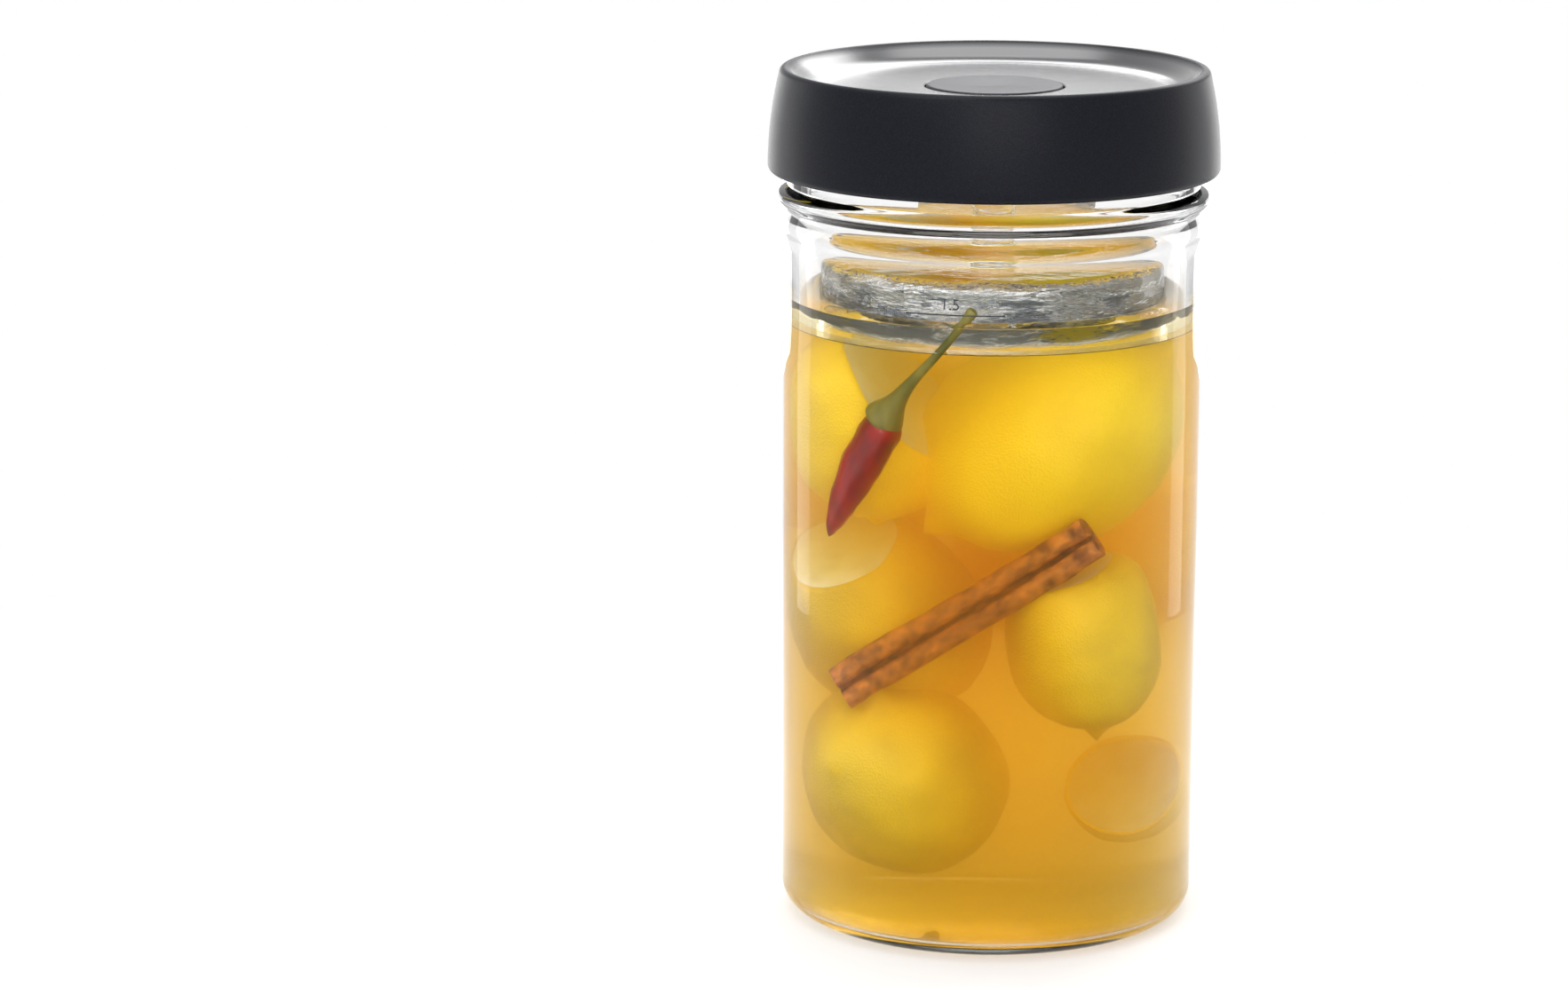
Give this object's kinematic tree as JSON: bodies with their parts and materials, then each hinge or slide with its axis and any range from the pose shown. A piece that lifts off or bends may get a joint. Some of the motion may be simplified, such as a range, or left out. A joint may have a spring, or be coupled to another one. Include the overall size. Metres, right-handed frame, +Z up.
{
  "type": "fermentation jar",
  "caption": "Cylindrical glass fermentation jar with a loose glass weight and a dark twist-on lid whose dished top has a round push-button vent.",
  "frame": {"origin": "middle of the base, on the surface that the jar stands on", "axes": "+Z up along the axis of the jar; +X and +Y across it, with the viewer of the picture on -Y"},
  "size_m": [0.1228, 0.1228, 0.2347],
  "materials": {
    "clear_glass": "clear, polished",
    "weight_glass": "clear pressed glass",
    "lid_plastic": "satin, fine spark-eroded grain",
    "button_plastic": "soft matt",
    "liner_plastic": "smooth moulded",
    "silicone": "matt translucent silicone",
    "spring_steel": "bright drawn wire"
  },
  "bodies": {
    "jar": {"glass_jar": "clear_glass"},
    "weight": {"glass_weight": "weight_glass"},
    "gasket": {"lid_gasket": "silicone"},
    "lid": {"lid_cap": "lid_plastic", "lid_liner": "liner_plastic", "valve_well": "liner_plastic", "valve_spring": "spring_steel", "gas_valve": "silicone"},
    "button": {"valve_button": "button_plastic", "valve_stem": "liner_plastic", "valve_seal": "silicone"}
  },
  "joints": [
    {"name": "lid_lift", "type": "slide", "parent": "jar", "child": "gasket", "axis": [0, 0, 1], "range_m": [0, 0.11]},
    {"name": "lid_turn", "type": "hinge", "parent": "gasket", "child": "lid", "pos_m": [0, 0, 0.223], "axis": [0, 0, 1], "range_deg": [0, 45]},
    {"name": "button_press", "type": "slide", "parent": "lid", "child": "button", "axis": [0, 0, 1], "range_m": [-0.0025, 0], "stiffness_N_per_m": 400, "springref_m": 0.003, "deforming": ["valve_spring"]},
    {"name": "weight_lift", "type": "slide", "parent": "jar", "child": "weight", "axis": [0, 0, 1], "range_m": [0, 0.077]}
  ],
  "couplings": [
    {"joint": "weight_lift", "follows": "lid_lift", "ratio": 0.7}
  ]
}
